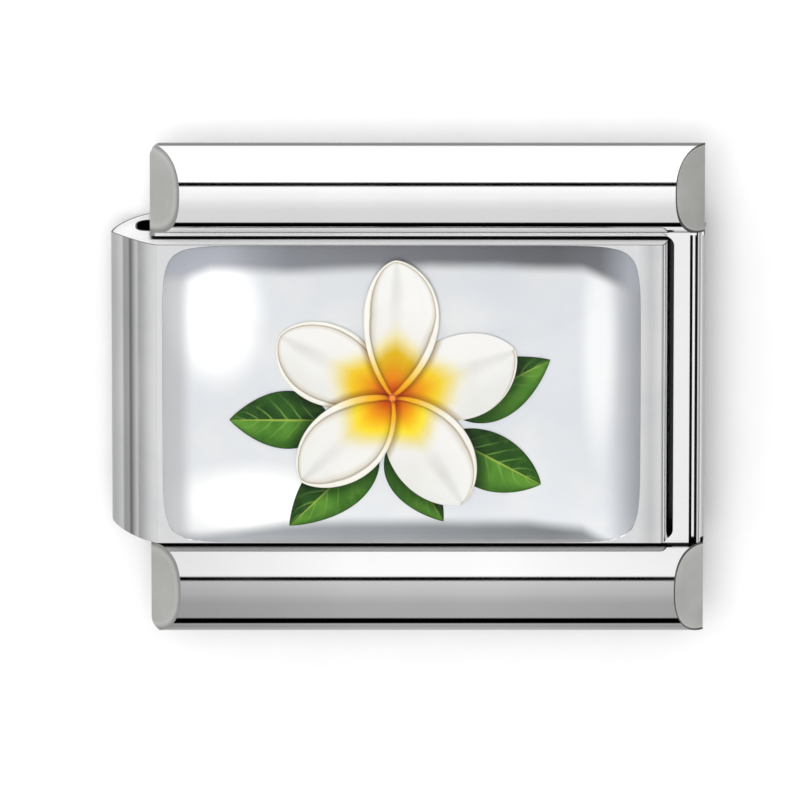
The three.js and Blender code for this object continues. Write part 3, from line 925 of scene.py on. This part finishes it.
def distance_to(points, line):
    """From each point to the nearest part of a polyline."""
    start, run = line[:-1], np.diff(line, axis=0)
    squared = np.maximum((run**2).sum(1), 1e-12)
    nearest = np.full(len(points), FAR)
    for origin, step, length in zip(start, run, squared):
        held = np.clip((points - origin) @ step / length, 0, 1)
        gap = np.linalg.norm(points - origin - held[:, None] * step, axis=1)
        nearest = np.minimum(nearest, gap)
    return nearest


def blade_piece(node, blade, bottom, above, slot, material, grid, rims=()):
    """A thin closed relief on that plan, with what its material needs to know at each point."""
    rows, columns = grid
    shares = eased_shares(rows + 2)[1:-1]
    acrosses = np.sin(np.linspace(-math.pi / 2, math.pi / 2, columns))
    share, across = (g.ravel() for g in np.meshgrid(shares, acrosses, indexing="ij"))
    share = np.concatenate([share, [0.0, 1.0]])
    across = np.concatenate([across, [0.0, 0.0]])
    plan = blade.at(share, across)
    gaps = {side: distance_to(plan, blade.side(side)) for side in (1, -1)}
    edge = np.minimum(gaps[1], gaps[-1])
    rim = np.full(len(plan), FAR)
    for side, widths in zip((1, -1), rims):
        width = np.interp(share, RIM_SHARES, widths)
        rim = np.minimum(rim, np.where(width > NO_RIM, gaps[side] / np.maximum(width, NO_RIM), FAR))
    overlap = np.full(len(plan), FAR)
    for other in above:
        gap = np.minimum(distance_to(plan, other.side(1)), distance_to(plan, other.side(-1)))
        overlap = np.minimum(overlap, np.where(other.inside(plan), 0, gap))
    tube = np.sqrt(np.clip(1 - (2 * np.minimum(rim, 1) - 1) ** 2, 0, 1))
    bowl = np.clip(edge / 0.25, 0, 1) ** 0.5
    top = bottom + SHEET * (0.6 + 0.4 * bowl) + RIM_RISE * np.where(rim < 1, tube, 0)

    faces = []
    for row in range(rows - 1):
        for column in range(columns - 1):
            a = row * columns + column
            faces.append((a, a + columns, a + columns + 1, a + 1))
    root, tip = rows * columns, rows * columns + 1
    last = (rows - 1) * columns
    for column in range(columns - 1):
        faces.append((root, column, column + 1))
        faces.append((tip, last + column + 1, last + column))
    rights = [row * columns for row in range(rows)]
    lefts = [row * columns + columns - 1 for row in range(rows)]
    rim_loop = [root, *rights, tip, *reversed(lefts)]
    points = [*np.column_stack([plan, top]), *[(*plan[i], bottom) for i in rim_loop]]
    first = len(plan)
    size = len(rim_loop)
    for i in range(size):
        j = (i + 1) % size
        faces.append((rim_loop[j], rim_loop[i], first + i, first + j))
    faces.append(tuple(first + i for i in reversed(range(size))))
    mesh = mesh_of(node + "_relief", points, faces)
    core = np.linalg.norm(plan - np.array([FLOWER["x"], FLOWER["y"]]), axis=1)
    for fact, values in zip(FACTS, (share, across, edge, rim, core, overlap)):
        layer = mesh.attributes.new(fact, "FLOAT", "POINT")
        layer.data.foreach_set("value", [*values, *values[rim_loop]])
    linked(mesh.name, mesh, "face", [node], [material])
    mesh.set_sharp_from_angle(angle=math.radians(60))


WHITE = (0.93, 0.925, 0.9)
INK_TONE = grey(0.85)
CURL_TONES = [
    (0.0, (0.66, 0.12, 0.002)), (0.08, (0.88, 0.32, 0.006)), (0.2, (0.93, 0.50, 0.02)),
    (0.34, (0.95, 0.74, 0.22)), (0.5, (0.96, 0.94, 0.87)),
]
PETAL_TONES = {
    # how far out the yellow goes, its warm and bright tones, and which side is the greyer
    "top": (1.06, (0.76, 0.36, 0.004), (0.76, 0.48, 0.012), 0.3),
    "lower_left": (0.98, (0.95, 0.46, 0.004), (0.99, 0.76, 0.03), -0.2),
    "lower_right": (0.92, (0.95, 0.48, 0.004), (0.99, 0.80, 0.04), -0.5),
    "right": (1.08, (0.88, 0.42, 0.004), (0.93, 0.66, 0.03), -0.7),
    "upper_left": (1.02, (0.86, 0.42, 0.004), (0.90, 0.60, 0.02), 0.7),
}


def petal_material(name):
    reach, warm, bright, greyer = PETAL_TONES[name]
    shader = material_shader("petal_" + name + "_print")
    along, across, edge, rim, core, overlap = shader.attributes(*FACTS)
    drawn = dict(X=shader.times(along, 1.2), Y=shader.times(across, 4.0))
    streaks = shader.fill("ShaderNodeCombineXYZ", **drawn)
    streak = shader.noise(streaks.outputs[0], 1.0, 2.0, 0.5)
    soft = shader.noise(shader.place(), 1.3, 2.0, 0.5)

    duller = shader.step(shader.times(across, greyer), -0.5, 0.9)
    body = shader.mix(duller, WHITE, (0.80, 0.80, 0.77))
    fold = shader.math("ABSOLUTE", across)
    crease = shader.times(shader.step(fold, 0.02, 0.28, 1, 0), shader.step(along, 0.35, 0.75))
    body = shader.mix(shader.times(crease, 0.55), body, (0.66, 0.655, 0.63))
    body = shader.mix(shader.step(soft, 0.3, 0.75, 0, 0.35), body, (0.97, 0.97, 0.96))
    body = shader.mix(shader.step(streak, 0.5, 0.8, 0, 0.25), body, (0.82, 0.81, 0.77))

    spread = shader.math("MULTIPLY_ADD", shader.math("SUBTRACT", streak, 0.5), -0.16, 1.0)
    spread = shader.math("ADD", spread, shader.times(fold, 0.38))
    depth = shader.times(shader.times(core, spread), 0.5 / reach)
    reds = [(0.0, (0.56, 0.05, 0.0)), (0.08, (0.68, 0.09, 0.0)), (0.18, (0.84, 0.25, 0.003))]
    yellows = [(0.28, warm), (0.4, bright), (0.54, (0.88, 0.76, 0.26)), (0.74, WHITE)]
    glow = shader.ramp(depth, [*reds, *yellows], "LINEAR")
    out = shader.step(depth, 0.42, 0.76)
    surface = shader.mix(out, glow, body)

    # The shade that a curled rim throws inwards, and the thin line at its foot.
    surface = shader.tinted(surface, (0.62, 0.50, 0.33), shader.step(rim, 1.0, 2.6, 0.5, 0.0))
    curl = shader.ramp(shader.times(core, 0.5), CURL_TONES, "LINEAR")
    round_off = shader.math("ABSOLUTE", shader.math("MULTIPLY_ADD", rim, 2.0, -1.0))
    curl = shader.tinted(curl, (0.80, 0.79, 0.74), shader.step(round_off, 0.3, 1.15, 0, 0.4))
    past = shader.step(rim, 0.88, 1.02)
    surface = shader.mix(past, curl, surface)
    line = shader.times(past, shader.step(rim, 1.1, 1.5, 0.6, 0.0))
    surface = shader.tinted(surface, (0.44, 0.43, 0.38), line)
    surface = shader.tinted(surface, (0.45, 0.44, 0.40), shader.step(edge, 0.004, 0.018, 0.12, 0))
    surface = shader.tinted(surface, (0.50, 0.38, 0.22), shader.step(overlap, 0.0, 0.15, 0.85, 0))
    surface = shader.tinted(surface, INK_TONE)
    return shader.principled(
        Base_Color=surface,
        Specular_IOR_Level=0.05,
        Roughness=shader.step(streak, 0.3, 0.7, 0.42, 0.55),
        Normal=shader.bump(streak, 0.002),
    )


# Which side of each leaf's rib is the darker: 1 is the left, looking from root to tip.
DARK_SIDES = dict(left=-1, upper_right=1, lower_right=1, lower_left=-1, bottom=1)


def leaf_material(name):
    shader = material_shader("leaf_" + name + "_print")
    along, across, edge, overlap = shader.attributes("along", "across", "edge", "overlap")
    away = shader.math("ABSOLUTE", across)
    soft = shader.noise(shader.place(), 1.6, 3.0, 0.55)
    fine = shader.noise(shader.place(), 14.0, 3.0, 0.6)
    side = shader.step(shader.times(across, DARK_SIDES[name]), -0.04, 0.04)
    pale = shader.mix(shader.step(soft, 0.3, 0.7), (0.05, 0.18, 0.014), (0.115, 0.30, 0.032))
    pale = shader.mix(shader.step(away, 0.45, 1.0, 0, 0.7), pale, (0.02, 0.085, 0.008))
    deep = shader.mix(shader.step(soft, 0.3, 0.7), (0.009, 0.042, 0.005), (0.024, 0.095, 0.01))
    surface = shader.mix(side, pale, deep)
    slant = shader.math("SUBTRACT", shader.times(along, 44.0), shader.times(away, 11.0))
    slant = shader.math("ADD", slant, shader.times(soft, 4.0))
    vein = shader.step(shader.math("SINE", slant), 0.8, 1.0, 0, 0.6)
    vein = shader.times(vein, shader.step(away, 0.1, 0.85, 1, 0.1))
    surface = shader.mix(vein, surface, (0.22, 0.44, 0.07))
    surface = shader.mix(shader.step(fine, 0.45, 0.8, 0, 0.25), surface, (0.16, 0.36, 0.06))
    rib = shader.step(away, 0.015, 0.05, 0.85, 0)
    surface = shader.mix(rib, surface, (0.36, 0.50, 0.07))
    surface = shader.tinted(surface, (0.22, 0.25, 0.2), shader.step(edge, 0.0, 0.03, 0.75, 0))
    surface = shader.tinted(surface, (0.16, 0.22, 0.18), shader.step(overlap, 0.0, 0.3, 0.9, 0))
    surface = shader.tinted(surface, INK_TONE)
    return shader.principled(
        Base_Color=surface,
        Specular_IOR_Level=0.05,
        Roughness=shader.step(fine, 0.3, 0.7, 0.4, 0.55),
        Normal=shader.bump(shader.math("ADD", vein, rib), 0.002),
    )


def make_eye():
    """The small orange button that the petals meet at."""
    shader = material_shader("flower_eye_print")
    (ring,) = shader.attributes("ring")
    fleck = shader.noise(shader.place(), 30.0, 3.0, 0.6)
    tone = shader.ramp(
        shader.math("MULTIPLY_ADD", fleck, 0.25, ring),
        [(0.15, (0.88, 0.30, 0.03)), (0.6, (0.83, 0.22, 0.01)), (1.0, (0.50, 0.06, 0.0))],
    )
    roughness = shader.step(fleck, 0.3, 0.7, 0.35, 0.5)
    material = shader.principled(Base_Color=tone, Roughness=roughness)
    bottom = PETAL_BOTTOM + len(PETALS) * PETAL_STEP + SHEET
    turns = np.linspace(0, 2 * math.pi, EYE_TURNS, endpoint=False)
    scales = np.cos(np.radians(np.linspace(0, 84, EYE_RINGS)))
    points = []
    for scale in scales:
        height = bottom + EYE_RISE * math.sqrt(1 - scale * scale)
        for turn in turns:
            x = FLOWER["x"] + EYE_RADIUS * scale * math.cos(turn)
            y = FLOWER["y"] + EYE_RADIUS * scale * math.sin(turn)
            points.append((x, y, height))
    points.append((FLOWER["x"], FLOWER["y"], bottom + EYE_RISE))
    mesh = mesh_of("eye_button", points, stacked_rings(len(scales), len(turns)))
    layer = mesh.attributes.new("ring", "FLOAT", "POINT")
    layer.data.foreach_set("value", [*np.repeat(scales, EYE_TURNS), 0.0])
    linked("eye_button", mesh, "face", ["flower_eye"], [material])


def make_flower():
    petals = [Blade(row, PETAL_FULLNESS) for row in PETALS]
    leaves = [Blade(row, LEAF_FULLNESS) for row in LEAVES]
    for i, blade in enumerate(petals):
        name = blade.shape["name"]
        bottom = PETAL_BOTTOM + (len(petals) - 1 - i) * PETAL_STEP
        look = ("petal_white", petal_material(name), PETAL_GRID, RIMS[name])
        blade_piece("petal_" + name, blade, bottom, petals[:i], *look)
    for i, blade in enumerate(leaves):
        name = blade.shape["name"]
        bottom = LEAF_BOTTOM + (len(leaves) - 1 - i) * LEAF_STEP
        look = ("leaf_green", leaf_material(name), LEAF_GRID)
        blade_piece("leaf_" + name, blade, bottom, [*petals, *leaves[:i]], *look)
    make_eye()


make_sleeve()
make_spring()
make_bar("frame_bar_upper", 1, polished)
make_bar("frame_bar_lower", -1, polished_lower)
make_band()
make_tongues()
make_film()
make_flower()
make_dome()

# ---- floor, light and camera


# The studio's brightness by the angle from straight up towards +Y and towards +X, in degrees.
SKY_ACROSS = [
    (-180, 0.9), (-90, 0.9), (-71, 0.8), (-69.5, 0.0), (-54, 0.0), (-52.5, 0.7), (-30, 0.72),
    (-24, 0.82), (-20.5, 0.96), (-15.1, 1.06), (-14.6, 0.0), (-10.6, 0.0), (-10.1, 1.15),
    (90, 1.1), (180, 1.0),
]
SKY_ALONG = [
    (-180, 0.7), (-92, 0.42), (-86, 0.47), (-77, 0.68), (-68, 0.8), (-50, 0.88), (-36, 0.82),
    (0, 0.85), (20, 0.8), (60, 0.45), (90, 0.3), (180, 0.3),
]


def world_light():
    """A plain light studio: white all round, with two narrow black flags along the object."""
    world = bpy.data.worlds.new("studio")
    bpy.context.scene.world = world
    shader = Shader(world, "ShaderNodeOutputWorld")
    upwards = shader.add("ShaderNodeTexCoord").outputs["Generated"]
    x, y, z = shader.fill("ShaderNodeSeparateXYZ", Vector=upwards).outputs

    def fan(side, stops):
        angle = shader.times(shader.math("ARCTAN2", side, z), 180 / math.pi)
        share = shader.math("MULTIPLY_ADD", angle, 1 / 360, 0.5)
        listed = [((at + 180) / 360, grey(level)) for at, level in stops]
        return shader.ramp(share, listed, "LINEAR")

    beside = shader.step(shader.math("ABSOLUTE", x), 0.2, 0.45)
    lit = shader.mix(beside, fan(y, SKY_ACROSS), fan(x, SKY_ALONG))
    path = shader.add("ShaderNodeLightPath")
    colour = shader.mix(path.outputs["Is Camera Ray"], lit, grey(0.95))
    shader.covered(shader.fill("ShaderNodeBackground", Color=colour))


# In metres and watts.
LAMP = dict(size=0.3, power=0.57, place=(-0.06, 0.08, 0.36))
FLOOR_REACH = 0.6


def make_lamp():
    """One large soft lamp over the object, which only the matt surfaces answer to."""
    data = bpy.data.lights.new("softbox", "AREA")
    data.shape = "DISK"
    data.size = LAMP["size"]
    data.energy = LAMP["power"]
    lamp = bpy.data.objects.new("softbox", data)
    lamp.location = LAMP["place"]
    lamp.rotation_euler = (-lamp.location).to_track_quat("-Z", "Y").to_euler()
    lamp.visible_glossy = False
    lamp.visible_camera = False
    bpy.context.scene.collection.objects.link(lamp)


def make_floor():
    corners = ((-1, -1), (1, -1), (1, 1), (-1, 1))
    points = [(FLOOR_REACH * x, FLOOR_REACH * y, 0) for x, y in corners]
    mesh = bpy.data.meshes.new("floor")
    mesh.from_pydata(points, [], [(0, 1, 2, 3)])
    shader = material_shader("floor_paper")
    fibres = shader.noise(shader.place(), 1.5, 4.0, 0.6)
    tone = shader.ramp(fibres, [(0.3, grey(0.98)), (0.7, grey(0.995))])
    mesh.materials.append(shader.principled(Base_Color=tone, Roughness=0.8))
    floor = bpy.data.objects.new("floor", mesh)
    bpy.context.scene.collection.objects.link(floor)


TILT = math.radians(21)  # of the camera off the face's normal, towards +Y
LENS = 1000.0
SENSOR = 36.0
VIEW_WIDTH = 13.848  # what the picture's width spans, in millimetres
AIM = (-0.147, -0.424, 0.8)


def make_camera():
    data = bpy.data.cameras.new("camera")
    data.lens = LENS
    data.sensor_width = SENSOR
    data.clip_start = 0.01
    data.clip_end = 5.0
    camera = bpy.data.objects.new("camera", data)
    bpy.context.scene.collection.objects.link(camera)
    back = Vector((0, math.sin(TILT), math.cos(TILT)))
    up = Vector((0, math.cos(TILT), -math.sin(TILT)))
    distance = VIEW_WIDTH * LENS / SENSOR
    place = (Vector(AIM) + back * distance) * MM
    turned = Matrix((Vector((1, 0, 0)), up, back)).transposed()
    camera.matrix_world = Matrix.Translation(place) @ turned.to_4x4()
    bpy.context.scene.camera = camera


world_light()
make_lamp()
make_floor()
make_camera()
bpy.context.scene.view_settings.view_transform = "Standard"
